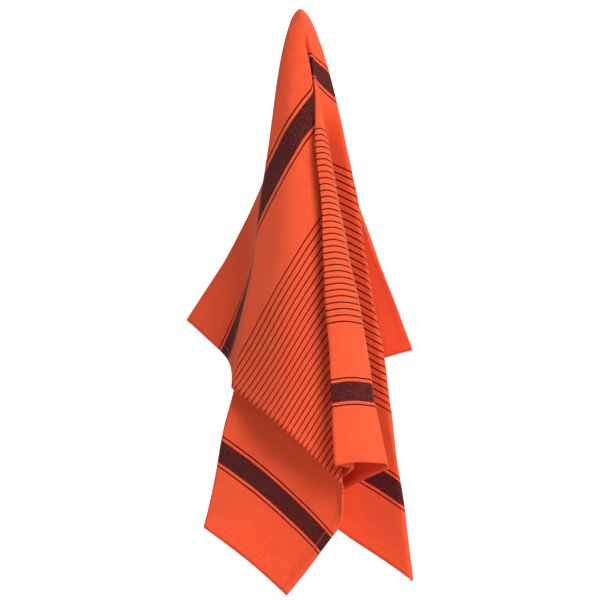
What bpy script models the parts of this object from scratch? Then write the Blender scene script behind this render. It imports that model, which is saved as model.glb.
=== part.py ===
"""Tea towel hung from one point near the middle of a long edge.

Metres, +Z up. The origin is the point it hangs from; X runs to the right as the
towel is seen from the front and Y runs away from the front. The cloth is one
hemmed rectangle, so it is one closed sheet.

The cloth hangs as a folded cone. Every place on the flat rectangle has a
distance r from the hanging point and an angle measured from straight down, and
each row of FOLDS says where the line at one angle goes as it falls: how far
aside and how far forward it is at a drop of REF_DROP, and how quickly it gets
there. Lines keep their length, so a line that spreads ends higher up.
"""
import bmesh
import bpy
import numpy as np

# ---- the flat cloth ----
LENGTH = 0.800             # along the stripes
WIDTH = 0.520              # across the stripes
HANG_INSET = 0.0085        # hanging point to the nearest edge
THICKNESS = 0.0011

# ---- the drape ----
REF_DROP = 0.500           # the drop at which the table gives the offsets
MAX_REACH = 0.680
MM = 0.001
FOLD_SOFTNESS = 0.005      # half the length of cloth that rounds each fold
BEND_SHARE = 0.45          # how far a wide bend reaches toward the next folds
BEND_STEPS = (0.0, 0.2, 0.4, 0.6, 0.8, 1.0)   # places along a wide bend
TURN_SHARE = 0.4           # most of the way to the next fold that a turn takes
TIP_START = 0.160          # nearer the tip than this the folds die out
TIP_SIMPLE = 0.080         # nearer than this only the simple folds of TIP_FOLDS are left
TIP_LEVEL = 0.040          # nearer the tip than this a ring is level
TIP_FADE = 0.90            # how quickly the folds soften toward the tip
TIP_POWER = 0.535          # how the tip's width grows with its drop
MOST_ROUNDED = (60.0, 20.0)   # degrees, at APEX_START and at APEX_FULL
APEX_START = 0.008         # nearer than this the apex is at its roundest
APEX_FULL = 0.022          # nearer than this the hidden pleat is gone
APEX_END = 0.050           # and here it is as deep as TIP_FOLDS makes it
ANGLE_STEP = 0.25
CORNER = np.degrees(np.arctan2(LENGTH / 2, WIDTH - HANG_INSET))   # the lower corners
LINE_STEPS = 500
BULGE_POWER = 1 / 3

COLUMNS = ("name", "angle", "aside", "aside_power", "bulge", "forward", "forward_power", "turn")
BEND = -1                  # in the column "turn": a wide bend; above 0, the width of a tight turn in mm
BOTH, TIP, APEX = 0, 1, 2  # which of the two upper sections a row of TIP_FOLDS belongs to
FOLDS = [
    ("back", -180, 0, 1.0, 0, -14, 0.5, 0),
    ("left back", -125, 0, 1.0, 0, -60, 0.60, 0),
    ("left edge", -91.2, -271, 1.90, 0, -175, 1.00, 0),
    ("left flap", -84.5, -163, 1.50, 0, -112, 1.00, BEND),
    ("left valley", -79.0, -102, 1.80, 0.4, -64, 0.95, BEND),
    ("left ridge", -67.0, -91, 1.60, 0.44, 20, 2.00, 0),
    ("front panel", -59.0, -25, 0.75, 0, 80, 0.75, BEND),
    ("front turn", -49.0, 43, 0.72, 0, 90, 0.85, 4),
    ("short edge turn", -44.5, 38, 0.80, 0, 74, 0.85, 0),
    ("low left corner", -CORNER, -9, 0.90, 0, 36, 0.90, BEND),
    ("low left turn", -29.0, -92, 1.15, 0, 0, 1.00, 5),
    ("hidden left", -19.0, -6, 0.90, 0, -6, 1.00, BEND),
    ("hidden rise", -9.6, 48, 0.77, 0, 60, 0.90, BEND),
    ("lip", -4.6, 57, 0.78, 0, 101, 0.85, 3),
    ("centre left", -2.0, 37, 0.72, 0, 120, 0.82, 3),
    ("centre", 2.0, 64, 0.85, 0, 126, 0.82, BEND),
    ("centre right", 6.0, 93, 1.00, 0, 102, 0.82, 0),
    ("centre side", 9.0, 93, 0.92, 0, 76, 0.85, 0),
    ("centre back", 16.5, 43, 0.80, 0, 38, 0.90, BEND),
    ("right valley", 23.0, 14, 0.80, 0, -6, 0.90, BEND),
    ("right panel", 29.2, 38, 0.80, 0, -36, 0.90, BEND),
    ("right ridge", CORNER, 107, 0.62, 0, 0, 0.80, 6),
    ("hidden right", 50.0, 40, 0.80, 0, -75, 0.90, BEND),
    ("hidden turn", 62.0, -30, 1.40, 0, -150, 1.05, 9),
    ("right flap", 76.0, 58, 0.90, 0, -84, 0.75, BEND),
    ("flap front", 84.0, 102, 0.95, 0, -40, 0.60, BEND),
    ("right edge", 91.2, 175, 1.16, 0, -22, 0.45, 0),
    ("right back", 125, 0, 1.0, 0, -60, 0.60, 0),
]

# how many degrees further out a fold lies on the flat cloth up at the tip
SWINGS = {"left valley": -3.0, "left ridge": -9.0, "front panel": -6.5, "front turn": -6.0,
          "right ridge": 7.0}
# the share of a line's length that its small wrinkles take up
SLACKS = {"left edge": 0.014, "left flap": 0.020, "low left corner": 0.006, "low left turn": 0.005}

# the simpler section near the tip, in shares of its width, and the plain one at the apex
TIP_FOLDS = [
    # angle, aside, forward, where
    (-180.0, 0.04, -0.46, BOTH),
    (-91.2, -0.26, -0.38, BOTH),
    (-82.0, -0.46, -0.16, BOTH),
    (-74.5, -0.50, 0.04, BOTH),
    (-66.0, -0.25, 0.36, BOTH),
    (-54.5, 0.15, 0.46, BOTH),
    (-46.0, 0.10, 0.36, TIP),
    (-30.0, -0.16, 0.10, TIP),
    (-6.0, 0.12, 0.29, TIP),
    (0.0, 0.17, 0.37, BOTH),
    (20.0, 0.21, 0.33, BOTH),
    (43.0, 0.50, -0.04, BOTH),
    (50.0, 0.40, -0.16, TIP),
    (62.0, -0.02, -0.37, TIP),
    (76.0, 0.24, -0.36, TIP),
    (91.2, 0.42, -0.28, TIP),
    (70.0, 0.42, -0.30, APEX),
    (91.2, 0.24, -0.42, APEX),
    (180.0, 0.04, -0.46, BOTH),
]

# ---- the mesh ----
PANEL_STEP = 3.2           # degrees between lines across a panel
FOLD_STEP = 1.0            # degrees between lines next to a fold
SWING_LINES = (0.2, 0.4, 0.6, 0.8)   # and along the reach of a fold that swings
TURN_STEPS = (0.6, 1.7)    # and on each side of a fold that is a tight turn
STEPS_BESIDE = {0: (FOLD_STEP,), BEND: ()}
HEM_ROWS = 2               # rows of the strip above the hanging point
RINGS = 28                 # steps from the hanging point to the hem
RING_POWER = 1.35          # above 1 puts the rings closer together near the tip

ORANGE = (0.80, 0.12, 0.045, 1.0)
CLOTH_ROUGHNESS = 0.85


def column(name):
    return np.array([row[COLUMNS.index(name)] for row in FOLDS], dtype=object)


def fall_lines():
    """Points of each fold's line at equal distances r along the cloth."""
    reach = np.linspace(0, MAX_REACH, LINE_STEPS)
    drop = MAX_REACH * np.linspace(0, 1, 2 * LINE_STEPS) ** 2
    share = drop / REF_DROP
    lines = []
    for name, angle, aside, aside_power, bulge, forward, forward_power, turn in FOLDS:
        side = aside * MM * ((1 - bulge) * share ** aside_power + bulge * share ** BULGE_POWER)
        front = forward * MM * share ** forward_power
        steps = np.sqrt(np.diff(side) ** 2 + np.diff(front) ** 2 + np.diff(drop) ** 2)
        along = np.concatenate([[0], np.cumsum(steps)])
        hung = reach * (1 - SLACKS.get(name, 0.0))
        lines.append([np.interp(hung, along, path) for path in (side, -front, -drop)])
    return reach, np.array(lines).transpose(0, 2, 1)


def eased(share):
    """From 0 to 1 with a soft start and a soft end."""
    share = np.clip(share, 0, 1)
    return share * share * (3 - 2 * share)


def spread(fine, angles, points):
    """Points given at some angles, in straight steps over all of them."""
    return np.stack([np.interp(fine, angles, axis) for axis in points.T], axis=1)


def rounded(ring, half_width):
    """A closed ring of values, averaged with a triangular weight."""
    count = max(int(round(half_width / ANGLE_STEP)), 1)
    weights = np.concatenate([np.arange(1, count + 1), np.arange(count - 1, 0, -1)]).astype(float)
    wrapped = np.concatenate([ring[len(ring) - count + 1:], ring, ring[:count - 1]])
    return np.convolve(wrapped, weights / weights.sum(), "valid")


def section_corners(r, angles, points, turns):
    """Corners of the section at r, with each tight turn given its own width."""
    corner_angles, corners = [], []
    last = len(angles) - 1
    for i, angle in enumerate(angles):
        if i in (0, last) or turns[i] == 0:
            corner_angles.append(angle)
            corners.append(points[i])
            continue
        if turns[i] == BEND:
            for share in BEND_STEPS:
                one, two, three = (1 - share) ** 2, 2 * share * (1 - share), share ** 2
                near, far = BEND_SHARE * one, BEND_SHARE * three
                keep = one * (1 - BEND_SHARE) + two + three * (1 - BEND_SHARE)
                corner_angles.append(near * angles[i - 1] + keep * angle + far * angles[i + 1])
                corners.append(near * points[i - 1] + keep * points[i] + far * points[i + 1])
            continue
        room = TURN_SHARE * min(angle - angles[i - 1], angles[i + 1] - angle)
        half = min(np.degrees(turns[i] * MM / 2 / r), room)
        across = points[i + 1, :2] - points[i - 1, :2]
        out = points[i, :2] - (points[i + 1, :2] + points[i - 1, :2]) / 2
        across -= out * (across @ out) / (out @ out)
        across /= np.linalg.norm(across)
        step = np.append(across * r * np.radians(half), 0)
        corner_angles += [angle - half, angle + half]
        corners += [points[i] - step, points[i] + step]
    return np.array(corner_angles), np.array(corners)


def one_wide(ring):
    """The same section, centred and one unit wide."""
    low, high = ring.min(axis=0), ring.max(axis=0)
    return (ring - (low + high) / 2) / (high[0] - low[0])


def draped_field():
    """Where the cloth lies, on a grid of angle by distance from the tip."""
    reach, lines = fall_lines()
    angles = np.append(column("angle").astype(float), 180.0)
    turns = np.append(column("turn").astype(float), 0.0)
    swings = np.array([SWINGS.get(name, 0.0) for name in column("name")] + [0.0])
    lines = np.concatenate([lines, lines[:1]])
    fine = np.arange(-180, 180, ANGLE_STEP)
    tip_folds = np.array(TIP_FOLDS)
    tip_section, apex_section = (
        one_wide(spread(fine, rows[:, 0], rows[:, 1:3] * (1, -1)))
        for rows in (tip_folds[tip_folds[:, 3] != APEX], tip_folds[tip_folds[:, 3] != TIP]))
    field = np.zeros((len(fine), LINE_STEPS, 3))
    start = int(round(TIP_START / MAX_REACH * (LINE_STEPS - 1)))
    for j in range(LINE_STEPS - 1, 0, -1):
        r = reach[j]
        half_width = np.degrees(FOLD_SOFTNESS / r) * max(TIP_START / r, 1) ** TIP_FADE
        half_width = min(half_width, np.interp(r, (APEX_START, APEX_FULL), MOST_ROUNDED))
        k = max(j, start)
        swung = angles + swings * max(1 - reach[k] / REF_DROP, 0)
        corner_angles, corners = section_corners(reach[k], swung, lines[:, k], turns)
        section = spread(fine, corner_angles, corners)
        if j < start:
            simple = eased((TIP_START - r) / (TIP_START - TIP_SIMPLE))
            folded = np.clip((r - APEX_FULL) / (APEX_END - APEX_FULL), 0, 1)
            tip = tip_section * folded + apex_section * (1 - folded)
            mixed = one_wide(section[:, :2]) * (1 - simple) + tip * simple
            section = np.column_stack([mixed, section[:, 2]])
        for axis in range(3):
            field[:, j, axis] = rounded(section[:, axis], half_width)
        if j == start:
            low, high = field[:, j, :2].min(axis=0), field[:, j, :2].max(axis=0)
            full_width, full_drop = high[0] - low[0], -field[:, j, 2].mean()
            centre = (low + high) / 2
        if j < start:
            height = np.interp(fine, swung, lines[:, j, 2])
            drop = -height.mean()
            own = np.clip((r - TIP_LEVEL) / (TIP_START - TIP_LEVEL), 0, 1)
            field[:, j, 2] = height * own - drop * (1 - own)
            width = full_width * (drop / full_drop) ** TIP_POWER
            field[:, j, :2] = one_wide(field[:, j, :2]) * width + centre * drop / full_drop
    return field


def mesh_angles():
    """Angles of the mesh's lines: close at the folds, wider across panels."""
    beside = {-90.0: (), 90.0: ()}
    for row in FOLDS:
        angle, turn = row[COLUMNS.index("angle")], row[COLUMNS.index("turn")]
        if abs(angle) < 90:
            beside[angle] = STEPS_BESIDE.get(turn, TURN_STEPS)
        if row[0] in SWINGS:
            beside[angle] = ()
            beside.update({angle + share * SWINGS[row[0]]: () for share in SWING_LINES})
    folds = sorted(beside)
    angles = [folds[-1]]
    for start, end in zip(folds, folds[1:]):
        near = [start + step for step in beside[start]]
        far = [end - step for step in reversed(beside[end])]
        low, high = (near or [start])[-1], (far or [end])[0]
        angles.append(start)
        if high - low < FOLD_STEP / 2:
            angles.append((start + end) / 2)
            continue
        count = max(int(round((high - low) / PANEL_STEP)), 1)
        angles += near + far + [low + (high - low) * i / count for i in range(1, count)]
    return np.array(sorted(angles))


def place(field, across, down):
    """Where one point of the flat rectangle lies in the drape."""
    steps = np.hypot(across, down) / MAX_REACH * (LINE_STEPS - 1)
    turn = (np.degrees(np.arctan2(across, down)) + 180) / ANGLE_STEP
    first, ring = int(turn) % len(field), min(int(steps), LINE_STEPS - 2)
    after = (first + 1) % len(field)
    aside, along = turn - int(turn), steps - ring
    near = field[first, ring] * (1 - aside) + field[after, ring] * aside
    far = field[first, ring + 1] * (1 - aside) + field[after, ring + 1] * aside
    return near * (1 - along) + far * along


def hem_distance(angle):
    """From the hanging point to the short edge or the lower edge."""
    sine = abs(np.sin(np.radians(angle)))
    cosine = abs(np.cos(np.radians(angle)))
    return min(LENGTH / 2 / max(sine, 1e-9), (WIDTH - HANG_INSET) / max(cosine, 1e-9))


def middle_surface(shell):
    """The cloth's middle: lines from the tip, and a strip above the tip."""
    field = draped_field()
    rings = np.linspace(0, 1, RINGS + 1)[1:] ** RING_POWER
    tip = shell.verts.new((0, 0, 0))
    lines = []
    for angle in mesh_angles():
        sine, cosine = np.sin(np.radians(angle)), np.cos(np.radians(angle))
        reach = rings * hem_distance(angle)
        lines.append([shell.verts.new(place(field, r * sine, r * cosine)) for r in reach])
    for line, after in zip(lines, lines[1:]):
        shell.faces.new((tip, line[0], after[0]))
        for j in range(RINGS - 1):
            shell.faces.new((line[j], line[j + 1], after[j + 1], after[j]))
    across = np.concatenate([-rings[::-1], [0], rings]) * LENGTH / 2
    below = lines[0][::-1] + [tip] + lines[-1]
    for row in range(1, HEM_ROWS + 1):
        down = -HANG_INSET * row / HEM_ROWS
        above = [shell.verts.new(place(field, u, down)) for u in across]
        for i in range(len(across) - 1):
            shell.faces.new((below[i], below[i + 1], above[i + 1], above[i]))
        below = above


def sheet_mesh(name, thickness):
    """A closed sheet: two offset skins joined round the hem."""
    shell = bmesh.new()
    middle_surface(shell)
    bmesh.ops.recalc_face_normals(shell, faces=shell.faces)
    shell.normal_update()
    middle = list(shell.verts)
    faces = list(shell.faces)
    hems = [edge for edge in shell.edges if edge.is_boundary]
    rims = [(edge.verts[0], edge.verts[1], edge.link_loops[0].vert) for edge in hems]
    back = {v: shell.verts.new(v.co - v.normal * thickness / 2) for v in middle}
    for face in faces:
        shell.faces.new([back[v] for v in reversed(face.verts)])
    for one, other, first in rims:
        start, end = (one, other) if first == one else (other, one)
        shell.faces.new((end, start, back[start], back[end]))
    for v in middle:
        v.co += v.normal * thickness / 2
    shell.normal_update()
    if shell.calc_volume(signed=True) < 0:
        bmesh.ops.reverse_faces(shell, faces=shell.faces)
    bmesh.ops.triangulate(shell, faces=shell.faces)
    mesh = bpy.data.meshes.new(name)
    shell.to_mesh(mesh)
    shell.free()
    mesh.shade_smooth()
    return mesh


def cloth_material():
    material = bpy.data.materials.new("orange cotton")
    material.use_nodes = True
    shader = material.node_tree.nodes["Principled BSDF"]
    shader.inputs["Base Color"].default_value = ORANGE
    shader.inputs["Roughness"].default_value = CLOTH_ROUGHNESS
    shader.inputs["Metallic"].default_value = 0.0
    return material


def main():
    for thing in list(bpy.data.objects):
        bpy.data.objects.remove(thing)
    mesh = sheet_mesh("towel_cloth", THICKNESS)
    towel = bpy.data.objects.new("towel_cloth", mesh)
    bpy.context.scene.collection.objects.link(towel)
    mesh.materials.append(cloth_material())


main()
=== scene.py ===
import math

import bmesh
import bpy
import numpy as np
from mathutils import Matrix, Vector


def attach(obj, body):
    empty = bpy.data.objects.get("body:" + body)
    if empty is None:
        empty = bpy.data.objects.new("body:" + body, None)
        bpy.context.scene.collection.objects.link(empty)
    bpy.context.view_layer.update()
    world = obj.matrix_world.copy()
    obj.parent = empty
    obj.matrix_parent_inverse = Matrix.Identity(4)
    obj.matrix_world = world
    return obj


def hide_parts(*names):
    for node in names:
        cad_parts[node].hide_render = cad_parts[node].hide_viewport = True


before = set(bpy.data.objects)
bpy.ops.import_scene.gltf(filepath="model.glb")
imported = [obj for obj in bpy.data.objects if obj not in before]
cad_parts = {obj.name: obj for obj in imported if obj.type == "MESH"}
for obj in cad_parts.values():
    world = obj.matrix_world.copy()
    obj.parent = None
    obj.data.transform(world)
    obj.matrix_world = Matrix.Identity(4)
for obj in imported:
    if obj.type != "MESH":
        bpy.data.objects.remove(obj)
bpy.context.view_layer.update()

# ---- the flat cloth, as in the solid ----
LENGTH = 0.800
WIDTH = 0.520
HANG_INSET = 0.0085
PITCH = 0.007              # between two fine stripes
SHEET_HALF = 0.00045       # half the thickness of the single cloth
HEM_EXTRA = 0.00035        # and what the folded hem adds to it
HEM_WIDTH = 0.0100
HEM_EDGE = 0.0012          # over which the hem's step falls off

# ---- the drape, as in the solid ----
REF_DROP = 0.500           # the drop at which the table gives the offsets
MAX_REACH = 0.680
MM = 0.001
FOLD_SOFTNESS = 0.005      # half the length of cloth that rounds each fold
BEND_SHARE = 0.45          # how far a wide bend reaches toward the next folds
BEND_STEPS = (0.0, 0.2, 0.4, 0.6, 0.8, 1.0)   # places along a wide bend
TURN_SHARE = 0.4           # most of the way to the next fold that a turn takes
TIP_START = 0.160          # nearer the tip than this the folds die out
TIP_SIMPLE = 0.080         # nearer than this only the simple folds of TIP_FOLDS are left
TIP_LEVEL = 0.040          # nearer the tip than this a ring is level
TIP_FADE = 0.90            # how quickly the folds soften toward the tip
TIP_POWER = 0.535          # how the tip's width grows with its drop
MOST_ROUNDED = (60.0, 20.0)   # degrees, at APEX_START and at APEX_FULL
APEX_START = 0.008         # nearer than this the apex is at its roundest
APEX_FULL = 0.022          # nearer than this the hidden pleat is gone
APEX_END = 0.050           # and here it is as deep as TIP_FOLDS makes it
ANGLE_STEP = 0.25
CORNER = np.degrees(np.arctan2(LENGTH / 2, WIDTH - HANG_INSET))   # the lower corners
LINE_STEPS = 500
BULGE_POWER = 1 / 3
TINY = 1e-9                # keeps a division from 0

COLUMNS = ("name", "angle", "aside", "aside_power", "bulge", "forward", "forward_power", "turn")
BEND = -1                  # in the column "turn": a wide bend; above 0, the width of a tight turn in mm
BOTH, TIP, APEX = 0, 1, 2  # which of the two upper sections a row of TIP_FOLDS belongs to
FOLDS = [
    ("back", -180, 0, 1.0, 0, -14, 0.5, 0),
    ("left back", -125, 0, 1.0, 0, -60, 0.60, 0),
    ("left edge", -91.2, -271, 1.90, 0, -175, 1.00, 0),
    ("left flap", -84.5, -163, 1.50, 0, -112, 1.00, BEND),
    ("left valley", -79.0, -102, 1.80, 0.4, -64, 0.95, BEND),
    ("left ridge", -67.0, -91, 1.60, 0.44, 20, 2.00, 0),
    ("front panel", -59.0, -25, 0.75, 0, 80, 0.75, BEND),
    ("front turn", -49.0, 43, 0.72, 0, 90, 0.85, 4),
    ("short edge turn", -44.5, 38, 0.80, 0, 74, 0.85, 0),
    ("low left corner", -CORNER, -9, 0.90, 0, 36, 0.90, BEND),
    ("low left turn", -29.0, -92, 1.15, 0, 0, 1.00, 5),
    ("hidden left", -19.0, -6, 0.90, 0, -6, 1.00, BEND),
    ("hidden rise", -9.6, 48, 0.77, 0, 60, 0.90, BEND),
    ("lip", -4.6, 57, 0.78, 0, 101, 0.85, 3),
    ("centre left", -2.0, 37, 0.72, 0, 120, 0.82, 3),
    ("centre", 2.0, 64, 0.85, 0, 126, 0.82, BEND),
    ("centre right", 6.0, 93, 1.00, 0, 102, 0.82, 0),
    ("centre side", 9.0, 93, 0.92, 0, 76, 0.85, 0),
    ("centre back", 16.5, 43, 0.80, 0, 38, 0.90, BEND),
    ("right valley", 23.0, 14, 0.80, 0, -6, 0.90, BEND),
    ("right panel", 29.2, 38, 0.80, 0, -36, 0.90, BEND),
    ("right ridge", CORNER, 107, 0.62, 0, 0, 0.80, 6),
    ("hidden right", 50.0, 40, 0.80, 0, -75, 0.90, BEND),
    ("hidden turn", 62.0, -30, 1.40, 0, -150, 1.05, 9),
    ("right flap", 76.0, 58, 0.90, 0, -84, 0.75, BEND),
    ("flap front", 84.0, 102, 0.95, 0, -40, 0.60, BEND),
    ("right edge", 91.2, 175, 1.16, 0, -22, 0.45, 0),
    ("right back", 125, 0, 1.0, 0, -60, 0.60, 0),
]

# how many degrees further out a fold lies on the flat cloth up at the tip
SWINGS = {"left valley": -3.0, "left ridge": -9.0, "front panel": -6.5, "front turn": -6.0,
          "right ridge": 7.0}
# the share of a line's length that its small wrinkles take up
SLACKS = {"left edge": 0.014, "left flap": 0.020, "low left corner": 0.006, "low left turn": 0.005}

# the simpler section near the tip, in shares of its width, and the plain one at the apex
TIP_FOLDS = [
    # angle, aside, forward, where
    (-180.0, 0.04, -0.46, BOTH),
    (-91.2, -0.26, -0.38, BOTH),
    (-82.0, -0.46, -0.16, BOTH),
    (-74.5, -0.50, 0.04, BOTH),
    (-66.0, -0.25, 0.36, BOTH),
    (-54.5, 0.15, 0.46, BOTH),
    (-46.0, 0.10, 0.36, TIP),
    (-30.0, -0.16, 0.10, TIP),
    (-6.0, 0.12, 0.29, TIP),
    (0.0, 0.17, 0.37, BOTH),
    (20.0, 0.21, 0.33, BOTH),
    (43.0, 0.50, -0.04, BOTH),
    (50.0, 0.40, -0.16, TIP),
    (62.0, -0.02, -0.37, TIP),
    (76.0, 0.24, -0.36, TIP),
    (91.2, 0.42, -0.28, TIP),
    (70.0, 0.42, -0.30, APEX),
    (91.2, 0.24, -0.42, APEX),
    (180.0, 0.04, -0.46, BOTH),
]

# ---- the fine mesh ----
FOLD_REACH = 1.5           # degrees on each side of a fold that are meshed finely
COARSE_STEP = 1.0          # degrees between lines across a panel
SWING_RANGE = (-83.0, -66.0)   # where folds swing, so that it is meshed finely throughout
SWING_STEP = 0.5
RINGS = 88                 # steps from the hanging point to the hem
RING_POWER = 1.3           # above 1 puts the rings closer together near the tip
HEM_RINGS = (0.0, 0.12, 0.55, 1.0)   # shares of the hem's width
STRIP_ROWS = 3             # rows of the strip above the hanging point

# soft waves in the cloth: radians per metre along and across it, phase, height
RIPPLES = [
    (31.0, 19.0, 0.4, 0.0009),
    (-24.0, 37.0, 2.1, 0.0007),
    (58.0, -26.0, 4.0, 0.0004),
    (12.0, 83.0, 5.2, 0.0003),
]
RIPPLE_START = 0.08        # nearer the hanging point than this there are none
RIPPLE_FULL = 0.22


def column(name):
    return np.array([row[COLUMNS.index(name)] for row in FOLDS], dtype=object)


def smooth(value, low, high):
    """A smooth step from 0 at low to 1 at high."""
    t = np.clip((value - low) / (high - low), 0, 1)
    return t * t * (3 - 2 * t)


def fall_lines():
    """Points of each fold's line at equal distances r along the cloth."""
    reach = np.linspace(0, MAX_REACH, LINE_STEPS)
    drop = MAX_REACH * np.linspace(0, 1, 2 * LINE_STEPS) ** 2
    share = drop / REF_DROP
    lines = []
    for name, angle, aside, aside_power, bulge, forward, forward_power, turn in FOLDS:
        side = aside * MM * ((1 - bulge) * share ** aside_power + bulge * share ** BULGE_POWER)
        front = forward * MM * share ** forward_power
        steps = np.sqrt(np.diff(side) ** 2 + np.diff(front) ** 2 + np.diff(drop) ** 2)
        along = np.concatenate([[0], np.cumsum(steps)])
        hung = reach * (1 - SLACKS.get(name, 0.0))
        lines.append([np.interp(hung, along, path) for path in (side, -front, -drop)])
    return reach, np.array(lines).transpose(0, 2, 1)


def spread(fine, angles, points):
    """Points given at some angles, in straight steps over all of them."""
    return np.stack([np.interp(fine, angles, axis) for axis in points.T], axis=1)


def rounded(ring, half_width):
    """A closed ring of values, averaged with a triangular weight."""
    count = max(int(round(half_width / ANGLE_STEP)), 1)
    weights = np.concatenate([np.arange(1, count + 1), np.arange(count - 1, 0, -1)]).astype(float)
    wrapped = np.concatenate([ring[len(ring) - count + 1:], ring, ring[:count - 1]])
    return np.convolve(wrapped, weights / weights.sum(), "valid")


def section_corners(r, angles, points, turns):
    """Corners of the section at r, with each tight turn given its own width."""
    corner_angles, corners = [], []
    last = len(angles) - 1
    for i, angle in enumerate(angles):
        if i in (0, last) or turns[i] == 0:
            corner_angles.append(angle)
            corners.append(points[i])
            continue
        if turns[i] == BEND:
            for share in BEND_STEPS:
                one, two, three = (1 - share) ** 2, 2 * share * (1 - share), share ** 2
                near, far = BEND_SHARE * one, BEND_SHARE * three
                keep = one * (1 - BEND_SHARE) + two + three * (1 - BEND_SHARE)
                corner_angles.append(near * angles[i - 1] + keep * angle + far * angles[i + 1])
                corners.append(near * points[i - 1] + keep * points[i] + far * points[i + 1])
            continue
        room = TURN_SHARE * min(angle - angles[i - 1], angles[i + 1] - angle)
        half = min(np.degrees(turns[i] * MM / 2 / r), room)
        across = points[i + 1, :2] - points[i - 1, :2]
        out = points[i, :2] - (points[i + 1, :2] + points[i - 1, :2]) / 2
        across -= out * (across @ out) / (out @ out)
        across /= np.linalg.norm(across)
        step = np.append(across * r * np.radians(half), 0)
        corner_angles += [angle - half, angle + half]
        corners += [points[i] - step, points[i] + step]
    return np.array(corner_angles), np.array(corners)


def one_wide(ring):
    """The same section, centred and one unit wide."""
    low, high = ring.min(axis=0), ring.max(axis=0)
    return (ring - (low + high) / 2) / (high[0] - low[0])


def draped_field():
    """Where the cloth lies, on a grid of angle by distance from the tip."""
    reach, lines = fall_lines()
    angles = np.append(column("angle").astype(float), 180.0)
    turns = np.append(column("turn").astype(float), 0.0)
    swings = np.array([SWINGS.get(name, 0.0) for name in column("name")] + [0.0])
    lines = np.concatenate([lines, lines[:1]])
    fine = np.arange(-180, 180, ANGLE_STEP)
    tip_folds = np.array(TIP_FOLDS)
    tip_section, apex_section = (
        one_wide(spread(fine, rows[:, 0], rows[:, 1:3] * (1, -1)))
        for rows in (tip_folds[tip_folds[:, 3] != APEX], tip_folds[tip_folds[:, 3] != TIP]))
    field = np.zeros((len(fine), LINE_STEPS, 3))
    start = int(round(TIP_START / MAX_REACH * (LINE_STEPS - 1)))
    for j in range(LINE_STEPS - 1, 0, -1):
        r = reach[j]
        half_width = np.degrees(FOLD_SOFTNESS / r) * max(TIP_START / r, 1) ** TIP_FADE
        half_width = min(half_width, np.interp(r, (APEX_START, APEX_FULL), MOST_ROUNDED))
        k = max(j, start)
        swung = angles + swings * max(1 - reach[k] / REF_DROP, 0)
        corner_angles, corners = section_corners(reach[k], swung, lines[:, k], turns)
        section = spread(fine, corner_angles, corners)
        if j < start:
            simple = 1 - smooth(r, TIP_SIMPLE, TIP_START)
            folded = np.clip((r - APEX_FULL) / (APEX_END - APEX_FULL), 0, 1)
            tip = tip_section * folded + apex_section * (1 - folded)
            mixed = one_wide(section[:, :2]) * (1 - simple) + tip * simple
            section = np.column_stack([mixed, section[:, 2]])
        for axis in range(3):
            field[:, j, axis] = rounded(section[:, axis], half_width)
        if j == start:
            low, high = field[:, j, :2].min(axis=0), field[:, j, :2].max(axis=0)
            full_width, full_drop = high[0] - low[0], -field[:, j, 2].mean()
            centre = (low + high) / 2
        if j < start:
            height = np.interp(fine, swung, lines[:, j, 2])
            drop = -height.mean()
            own = np.clip((r - TIP_LEVEL) / (TIP_START - TIP_LEVEL), 0, 1)
            field[:, j, 2] = height * own - drop * (1 - own)
            width = full_width * (drop / full_drop) ** TIP_POWER
            field[:, j, :2] = one_wide(field[:, j, :2]) * width + centre * drop / full_drop
    return field


def place(field, across, down):
    """Where one point of the flat rectangle lies in the drape."""
    steps = np.hypot(across, down) / MAX_REACH * (LINE_STEPS - 1)
    turn = (np.degrees(np.arctan2(across, down)) + 180) / ANGLE_STEP
    first, ring = int(turn) % len(field), min(int(steps), LINE_STEPS - 2)
    after = (first + 1) % len(field)
    aside, along = turn - int(turn), steps - ring
    near = field[first, ring] * (1 - aside) + field[after, ring] * aside
    far = field[first, ring + 1] * (1 - aside) + field[after, ring + 1] * aside
    return near * (1 - along) + far * along


def hem_distance(angle):
    """From the hanging point to the short edge or the lower edge."""
    sine = abs(np.sin(np.radians(angle)))
    cosine = abs(np.cos(np.radians(angle)))
    return min(LENGTH / 2 / max(sine, TINY), (WIDTH - HANG_INSET) / max(cosine, TINY))


def mesh_angles():
    """Angles of the mesh's lines: close at the folds, wider across panels."""
    fine = np.arange(-90, 90 + ANGLE_STEP / 2, ANGLE_STEP)
    folds = column("angle").astype(float)
    kept = [float(a) for a in fine if np.abs(folds - a).min() <= FOLD_REACH or a % COARSE_STEP == 0]
    kept += [float(a) for a in np.arange(*SWING_RANGE, SWING_STEP)]
    return sorted(set(kept + [-CORNER, CORNER]))


def half_thickness(across, down):
    """More along the folded hem than elsewhere."""
    to_short = LENGTH / 2 - abs(across)
    to_long = min(down + HANG_INSET, WIDTH - HANG_INSET - down)
    to_edge = min(to_short, to_long)
    hem = 1 - smooth(to_edge, HEM_WIDTH - HEM_EDGE, HEM_WIDTH)
    return SHEET_HALF + HEM_EXTRA * hem


def ripple(across, down):
    """Height of the soft waves above the smooth folds."""
    waves = sum(height * math.sin(along * across + over * down + phase)
                for along, over, phase, height in RIPPLES)
    return waves * smooth(math.hypot(across, down), RIPPLE_START, RIPPLE_FULL)


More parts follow.
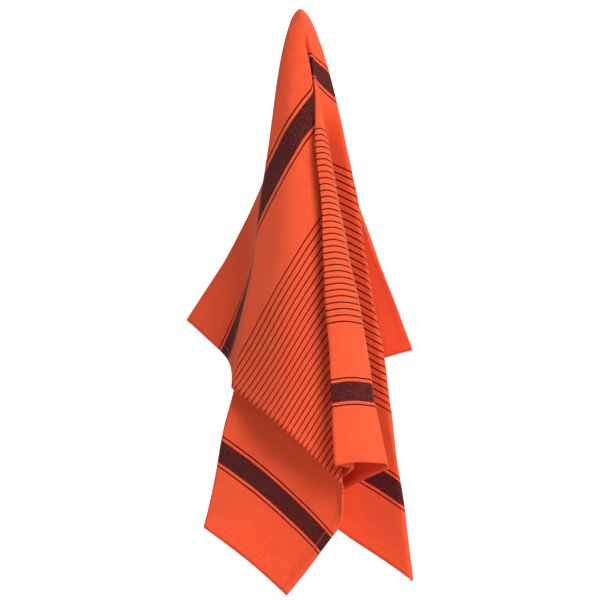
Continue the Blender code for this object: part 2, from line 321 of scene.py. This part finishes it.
def middle_surface(shell):
    """The cloth's middle, and where each of its points lies on the flat cloth."""
    field = draped_field()
    flat = {}

    def point(across, down):
        vert = shell.verts.new(place(field, across, down))
        flat[vert] = (across, down)
        return vert

    tip = shell.verts.new((0, 0, 0))
    flat[tip] = (0.0, 0.0)
    rings = np.linspace(0, 1, RINGS + 1)[1:] ** RING_POWER
    lines = []
    for angle in mesh_angles():
        sine, cosine = math.sin(math.radians(angle)), math.cos(math.radians(angle))
        end = hem_distance(angle)
        slope = cosine if abs(angle) < CORNER else abs(sine)
        start = end - HEM_WIDTH / slope
        reach = np.concatenate([rings[:-1] * start, [start + (end - start) * s for s in HEM_RINGS]])
        lines.append([point(r * sine, r * cosine) for r in reach])
    for line, after in zip(lines, lines[1:]):
        shell.faces.new((tip, line[0], after[0]))
        for j in range(len(line) - 1):
            shell.faces.new((line[j], line[j + 1], after[j + 1], after[j]))
    below = lines[0][::-1] + [tip] + lines[-1]
    across = [flat[vert][0] for vert in below]
    for row in range(1, STRIP_ROWS + 1):
        above = [point(u, -HANG_INSET * row / STRIP_ROWS) for u in across]
        for i in range(len(across) - 1):
            shell.faces.new((below[i], below[i + 1], above[i + 1], above[i]))
        below = above
    bmesh.ops.recalc_face_normals(shell, faces=shell.faces)
    shell.normal_update()
    return flat


def thicken(shell, flat):
    """Waves on the middle surface, then two skins joined round the hem."""
    middle = list(shell.verts)
    faces = list(shell.faces)
    for vert in middle:
        vert.co += vert.normal * ripple(*flat[vert])
    shell.normal_update()
    hems = [edge for edge in shell.edges if edge.is_boundary]
    rims = [(edge.verts[0], edge.verts[1], edge.link_loops[0].vert) for edge in hems]
    back = {}
    for vert in middle:
        other = shell.verts.new(vert.co - vert.normal * half_thickness(*flat[vert]))
        back[vert] = other
        flat[other] = flat[vert]
    for face in faces:
        shell.faces.new([back[v] for v in reversed(face.verts)])
    for one, other, first in rims:
        start, end = (one, other) if first == one else (other, one)
        shell.faces.new((end, start, back[start], back[end]))
    for vert in middle:
        vert.co += vert.normal * half_thickness(*flat[vert])
    shell.normal_update()
    if shell.calc_volume(signed=True) < 0:
        bmesh.ops.reverse_faces(shell, faces=shell.faces)


def towel():
    """The whole cloth, with its flat coordinates in stripe pitches as its UVs."""
    shell = bmesh.new()
    flat = middle_surface(shell)
    thicken(shell, flat)
    uv = shell.loops.layers.uv.new("flat")
    for face in shell.faces:
        face.smooth = True
        for loop in face.loops:
            u, v = flat[loop.vert]
            loop[uv].uv = (u / PITCH, (v + HANG_INSET) / PITCH)
    mesh = bpy.data.meshes.new("towel")
    shell.to_mesh(mesh)
    shell.free()
    piece = bpy.data.objects.new("towel", mesh)
    bpy.context.scene.collection.objects.link(piece)
    return piece


# ---- the pattern, in stripe pitches on the flat cloth ----
MIDDLE = WIDTH / 2 / PITCH          # the pattern is the same on both sides of this
HALF_LENGTH = LENGTH / 2 / PITCH
HEM_PITCHES = HEM_WIDTH / PITCH
LAST_LINE = 16.0                    # the fine lines lie at 0.5, 1.5 ... 15.5 from the middle
LINES_END = 0.02                    # over which the field of fine lines stops
LINE_HALF = 0.108
LINE_BLUR = 0.020
BAND_MIDDLE = 26.25
BAND_HALF = 1.5
GUARD_LINE = 2.05                   # thin lines beside each band, from its middle
YARN_PITCH = 0.10                   # one yarn
TWILL_SLANT = 0.62                  # how far the twill runs across for each pitch along

# noise on the flat cloth: scale, detail and, for the stripes' lines, height
WANDER = (0.35, 2.0, 0.10)
JITTER = (9.0, 1.0, 0.035)
PATCHES = (0.06, 3.0)
# noise drawn out along the yarns: scale along, scale across, detail
YARNS = (0.25, 9.0, 3.0)
SPECKS = (5.0, 8.0, 2.0)

# ---- the hem's look, in stripe pitches ----
SEAM_INSET = 0.16                   # from the hem's inner edge out to the stitches
STITCH_PITCH = 0.42                 # one stitch
# how far from its middle line a mark is full, and how far it is gone
STITCH_HALF = (0.30, 0.40)
THREAD_HALF = (0.03, 0.065)
GROOVE_HALF = (0.02, 0.22)          # drawn into the cloth by the thread, and darkened there with painted shade
INNER_EDGE = (0.0, 0.10)            # the painted shade where the hem ends
# the small waves that the seam makes beside the hem
PUCKER_REACH = 1.2
PUCKER_SCALE = 0.9
PUCKER_DETAIL = 2.0

# ---- colours ----
ORANGE = (0.87, 0.128, 0.053, 1.0)
ORANGE_DEEP = (0.80, 0.098, 0.036, 1.0)
ORANGE_SPECK = (0.52, 0.05, 0.02, 1.0)
LINE_COLOUR = (0.030, 0.004, 0.006, 1.0)
BAND_COLOUR = (0.040, 0.007, 0.009, 1.0)
BAND_SPECK = (0.33, 0.055, 0.050, 1.0)
# painted shade, laid in the hem's groove and along its inner edge
HEM_PAINTED_SHADE = (0.25, 0.02, 0.01, 1.0)
THREAD_COLOUR = (0.86, 0.20, 0.10, 1.0)

# where a noise starts to show and where it shows in full
YARNS_SEEN = (0.3, 0.7)
PATCHES_SEEN = (0.35, 0.65)
SPECKS_SEEN = (0.56, 0.70)
BAND_SPECKS_SEEN = (0.53, 0.66)
LINE_SPECKS_SEEN = (0.40, 0.70)
# how much of a colour covers the one below it
PATCH_COVER = 0.25
SPECK_COVER = 0.16
LINE_COVERS = (1.0, 0.85)           # without a speck and with one
BAND_COVER = 0.98
# how strongly the hem's painted shade covers the colour below it
HEM_PAINTED_SHADE_COVER = 0.16
THREAD_COVER = 0.8

# ---- the surface ----
ROUGH_YARNS = (0.2, 0.8)            # the yarns' noise, and the roughness that it gives
ROUGHNESS = (0.82, 0.94)
SURFACE = {
    "Specular IOR Level": 0.25,
    "Sheen Weight": 0.20,
    "Sheen Roughness": 0.40,
    "Sheen Tint": (1.0, 0.55, 0.40, 1.0),
    "Subsurface Weight": 0.45,
    "Subsurface Radius": (1.0, 0.12, 0.06),
    "Subsurface Scale": 0.004,
}
RELIEF = {"twill": 0.16, "warp": 0.07, "yarns": 0.5, "specks": 0.25,
          "thread": 0.9, "groove": -0.8, "puckers": 0.9}
BUMP_STRENGTH = 0.55
BUMP_HEIGHT = 0.0006


class Nodes:
    """Short names for the few kinds of node used."""

    def __init__(self, material):
        self.tree = material.node_tree

    def put(self, socket, value):
        """Link a signal to a socket, or set a constant on it."""
        if isinstance(value, bpy.types.NodeSocket):
            self.tree.links.new(value, socket)
        else:
            socket.default_value = value

    def math(self, operation, a, b=0.5):
        node = self.tree.nodes.new("ShaderNodeMath")
        node.operation = operation
        for socket, value in zip(node.inputs, (a, b)):
            self.put(socket, value)
        return node.outputs[0]

    def away(self, value, centre):
        """The distance of value from centre."""
        return self.math("ABSOLUTE", self.math("SUBTRACT", value, centre))

    def step(self, value, low, high, first=0.0, last=1.0):
        """A smooth step of value from first at low to last at high."""
        node = self.tree.nodes.new("ShaderNodeMapRange")
        node.interpolation_type = "SMOOTHSTEP"
        for name, v in (("Value", value), ("From Min", low), ("From Max", high),
                        ("To Min", first), ("To Max", last)):
            self.put(node.inputs[name], v)
        return node.outputs["Result"]

    def within(self, value, low, high):
        """1 up to low, and down to 0 at high."""
        return self.step(value, low, high, 1.0, 0.0)

    def vector(self, x, y):
        node = self.tree.nodes.new("ShaderNodeCombineXYZ")
        for socket, value in zip(node.inputs, (x, y)):
            self.put(socket, value)
        return node.outputs[0]

    def noise(self, vector, scale, detail):
        node = self.tree.nodes.new("ShaderNodeTexNoise")
        self.put(node.inputs["Vector"], vector)
        node.inputs["Scale"].default_value = scale
        node.inputs["Detail"].default_value = detail
        return node.outputs["Fac"]

    def drawn_noise(self, along, across, scale_along, scale_across, detail):
        """Noise with a scale of its own each way."""
        spot = self.vector(self.math("MULTIPLY", along, scale_along),
                           self.math("MULTIPLY", across, scale_across))
        return self.noise(spot, 1.0, detail)

    def swing(self, vector, scale, detail, height):
        """Noise to both sides of zero."""
        signal = self.math("SUBTRACT", self.noise(vector, scale, detail), 0.5)
        return self.math("MULTIPLY", signal, height)

    def wave(self, value, pitch):
        return self.math("SINE", self.math("MULTIPLY", value, 2 * math.pi / pitch))

    def mix(self, share, first, last):
        node = self.tree.nodes.new("ShaderNodeMix")
        node.data_type = "RGBA"
        factor, colour_a, colour_b = node.inputs[0], node.inputs[6], node.inputs[7]
        self.put(factor, share)
        self.put(colour_a, first)
        self.put(colour_b, last)
        return node.outputs[2]

    def cover(self, mask, share, below, above):
        """Colour above laid over colour below, where the mask is, up to a share."""
        return self.mix(self.math("MULTIPLY", mask, share), below, above)

    def total(self, signals, shares):
        """The sum of the signals, each times its share."""
        parts = [self.math("MULTIPLY", signals[name], share) for name, share in shares.items()]
        height = parts[0]
        for part in parts[1:]:
            height = self.math("ADD", height, part)
        return height


def stripes(n, flat, across):
    """Where the lines and the bands are, on cloth whose weave wanders a little."""
    wander = n.swing(flat, *WANDER)
    jitter = n.swing(flat, *JITTER)
    line_at = n.math("ADD", n.math("ADD", across, wander), jitter)
    from_middle = n.away(line_at, MIDDLE)
    line_edges = (LINE_HALF - LINE_BLUR, LINE_HALF + LINE_BLUR)
    inside = n.within(from_middle, LAST_LINE, LAST_LINE + LINES_END)
    near_line = n.away(n.math("FRACT", from_middle), 0.5)
    fine = n.math("MULTIPLY", n.within(near_line, *line_edges), inside)
    from_band = n.away(from_middle, BAND_MIDDLE)
    guard = n.within(n.away(from_band, GUARD_LINE), *line_edges)
    band = n.within(from_band, BAND_HALF - LINE_BLUR, BAND_HALF + LINE_BLUR)
    return n.math("MAXIMUM", fine, guard), band


def hem_marks(n, along, across):
    """The stitches, their groove, the painted shade of the hem and the puckers beside it."""
    to_short = n.math("SUBTRACT", HALF_LENGTH, n.math("ABSOLUTE", along))
    to_long = n.math("SUBTRACT", MIDDLE, n.away(across, MIDDLE))
    to_edge = n.math("MINIMUM", to_short, to_long)
    on_short = n.math("LESS_THAN", to_short, to_long)
    run = n.math("ADD", n.math("MULTIPLY", on_short, across),
                 n.math("MULTIPLY", n.math("SUBTRACT", 1.0, on_short), along))
    beat = n.away(n.math("FRACT", n.math("DIVIDE", run, STITCH_PITCH)), 0.5)
    from_seam = n.away(to_edge, HEM_PITCHES - SEAM_INSET)
    thread = n.math("MULTIPLY", n.within(from_seam, *THREAD_HALF), n.within(beat, *STITCH_HALF))
    groove = n.within(from_seam, *GROOVE_HALF)
    inner_edge = n.within(n.away(to_edge, HEM_PITCHES), *INNER_EDGE)
    spot = n.vector(n.math("MULTIPLY", run, PUCKER_SCALE), 0.0)
    puckers = n.math("MULTIPLY", n.within(to_edge, HEM_PITCHES, HEM_PITCHES + PUCKER_REACH),
                     n.noise(spot, 1.0, PUCKER_DETAIL))
    # shade: painted shade in the thread's groove and at the hem's inner edge
    return {"thread": thread, "groove": groove, "puckers": puckers,
            "shade": n.math("MAXIMUM", groove, inner_edge)}


def cloth_material():
    """Striped cotton that follows the flat cloth's own coordinates."""
    material = bpy.data.materials.new("striped_cotton")
    material.use_nodes = True
    n = Nodes(material)
    tree = material.node_tree
    shader = tree.nodes["Principled BSDF"]
    coordinates = tree.nodes.new("ShaderNodeUVMap")
    coordinates.uv_map = "flat"
    flat = coordinates.outputs[0]
    split = tree.nodes.new("ShaderNodeSeparateXYZ")
    tree.links.new(flat, split.inputs[0])
    along, across = split.outputs[0], split.outputs[1]

    lines, band = stripes(n, flat, across)
    slant = n.math("ADD", n.math("MULTIPLY", along, TWILL_SLANT), across)
    signals = {
        "twill": n.wave(slant, YARN_PITCH),
        "warp": n.wave(along, YARN_PITCH),
        "yarns": n.drawn_noise(along, across, *YARNS),
        "specks": n.drawn_noise(along, across, *SPECKS),
    }
    yarns, specks = signals["yarns"], signals["specks"]
    patches = n.noise(flat, *PATCHES)
    signals.update(hem_marks(n, along, across))

    ground = n.mix(n.step(yarns, *YARNS_SEEN), ORANGE_DEEP, ORANGE)
    ground = n.cover(n.step(patches, *PATCHES_SEEN), PATCH_COVER, ground, ORANGE_DEEP)
    ground = n.cover(n.step(specks, *SPECKS_SEEN), SPECK_COVER, ground, ORANGE_SPECK)
    dark = n.mix(n.step(specks, *BAND_SPECKS_SEEN), BAND_COLOUR, BAND_SPECK)
    line_share = n.step(specks, *LINE_SPECKS_SEEN, *LINE_COVERS)
    colour = n.cover(lines, line_share, ground, LINE_COLOUR)
    colour = n.cover(band, BAND_COVER, colour, dark)
    # painted shade along the hem's groove and inner edge
    colour = n.cover(signals["shade"], HEM_PAINTED_SHADE_COVER, colour, HEM_PAINTED_SHADE)
    colour = n.cover(signals["thread"], THREAD_COVER, colour, THREAD_COLOUR)
    tree.links.new(colour, shader.inputs["Base Color"])
    tree.links.new(n.step(yarns, *ROUGH_YARNS, *ROUGHNESS), shader.inputs["Roughness"])
    for name, value in SURFACE.items():
        shader.inputs[name].default_value = value

    bump = tree.nodes.new("ShaderNodeBump")
    bump.inputs["Strength"].default_value = BUMP_STRENGTH
    bump.inputs["Distance"].default_value = BUMP_HEIGHT
    tree.links.new(n.total(signals, RELIEF), bump.inputs["Height"])
    tree.links.new(bump.outputs[0], shader.inputs["Normal"])
    return material


# ---- floor and light ----
FLOOR_HEIGHT = -1.10
FLOOR_HALF = 3.0
FLOOR_COLOUR = (0.92, 0.92, 0.92, 1.0)
FLOOR_ROUGHNESS = 0.9
WHITE = (1.0, 1.0, 1.0, 1.0)
WORLD_BACK = 1.0           # the white behind the towel
WORLD_FRONT = 0.22         # the dimmer room in front of it
WORLD_TURN = (0.1, 0.8)    # how far to the back the room starts to brighten, and is white
LIGHT_AIM = Vector((0, 0, -0.3))
LAMPS = [
    # name, place, size, watts
    ("key", (1.15, -2.3, 1.0), (1.0, 1.0), 72.0),
    ("fill", (-1.6, -2.6, 0.1), (1.8, 1.8), 9.0),
]

# ---- the camera ----
CAMERA_DISTANCE = 2.4
PIXELS_PER_METRE = 903.0   # in the plane through the hanging point
IMAGE_SIZE = 600.0
HANG_PIXEL = (300.5, 9.5)
SENSOR = 36.0


def lay_floor():
    """A plain pale floor under the towel."""
    shape = bmesh.new()
    corners = [(x * FLOOR_HALF, y * FLOOR_HALF, FLOOR_HEIGHT)
               for x, y in ((-1, -1), (1, -1), (1, 1), (-1, 1))]
    shape.faces.new([shape.verts.new(corner) for corner in corners])
    mesh = bpy.data.meshes.new("floor")
    shape.to_mesh(mesh)
    shape.free()
    floor = bpy.data.objects.new("floor", mesh)
    bpy.context.scene.collection.objects.link(floor)
    material = bpy.data.materials.new("pale_floor")
    material.use_nodes = True
    shader = material.node_tree.nodes["Principled BSDF"]
    shader.inputs["Base Color"].default_value = FLOOR_COLOUR
    shader.inputs["Roughness"].default_value = FLOOR_ROUGHNESS
    mesh.materials.append(material)


def light_room():
    """A white wall of light behind the towel, and a dimmer room in front."""
    world = bpy.data.worlds.new("studio")
    bpy.context.scene.world = world
    world.use_nodes = True
    tree = world.node_tree
    background = tree.nodes["Background"]
    background.inputs["Color"].default_value = WHITE
    where = tree.nodes.new("ShaderNodeTexCoord")
    split = tree.nodes.new("ShaderNodeSeparateXYZ")
    ramp = tree.nodes.new("ShaderNodeMapRange")
    ramp.interpolation_type = "SMOOTHSTEP"
    ramp.inputs["From Min"].default_value, ramp.inputs["From Max"].default_value = WORLD_TURN
    ramp.inputs["To Min"].default_value = WORLD_FRONT
    ramp.inputs["To Max"].default_value = WORLD_BACK
    tree.links.new(where.outputs["Generated"], split.inputs[0])
    tree.links.new(split.outputs["Y"], ramp.inputs["Value"])
    tree.links.new(ramp.outputs["Result"], background.inputs["Strength"])


def set_lamps():
    for name, spot, size, power in LAMPS:
        light = bpy.data.lights.new(name, "AREA")
        light.shape = "RECTANGLE"
        light.size, light.size_y = size
        light.energy = power
        lamp = bpy.data.objects.new(name, light)
        lamp.location = spot
        aim = LIGHT_AIM - Vector(spot)
        lamp.rotation_euler = aim.to_track_quat("-Z", "Y").to_euler()
        bpy.context.scene.collection.objects.link(lamp)


def set_camera():
    """Level with the middle of the picture, and straight from the front."""
    eye = bpy.data.cameras.new("camera")
    eye.sensor_width = SENSOR
    eye.lens = SENSOR * PIXELS_PER_METRE * CAMERA_DISTANCE / IMAGE_SIZE
    eye.dof.use_dof = False
    stand = bpy.data.objects.new("camera", eye)
    x = -(HANG_PIXEL[0] - IMAGE_SIZE / 2) / PIXELS_PER_METRE
    z = -(IMAGE_SIZE / 2 - HANG_PIXEL[1]) / PIXELS_PER_METRE
    stand.location = (x, -CAMERA_DISTANCE, z)
    stand.rotation_euler = (math.pi / 2, 0, 0)
    bpy.context.scene.collection.objects.link(stand)
    bpy.context.scene.camera = stand


cloth = towel()
cloth.data.materials.append(cloth_material())
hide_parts("towel_cloth")
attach(cloth, "root")

lay_floor()
light_room()
set_lamps()
set_camera()
view = bpy.context.scene.view_settings
view.view_transform = "Standard"
view.look = "Medium High Contrast"
view.exposure = 0.0
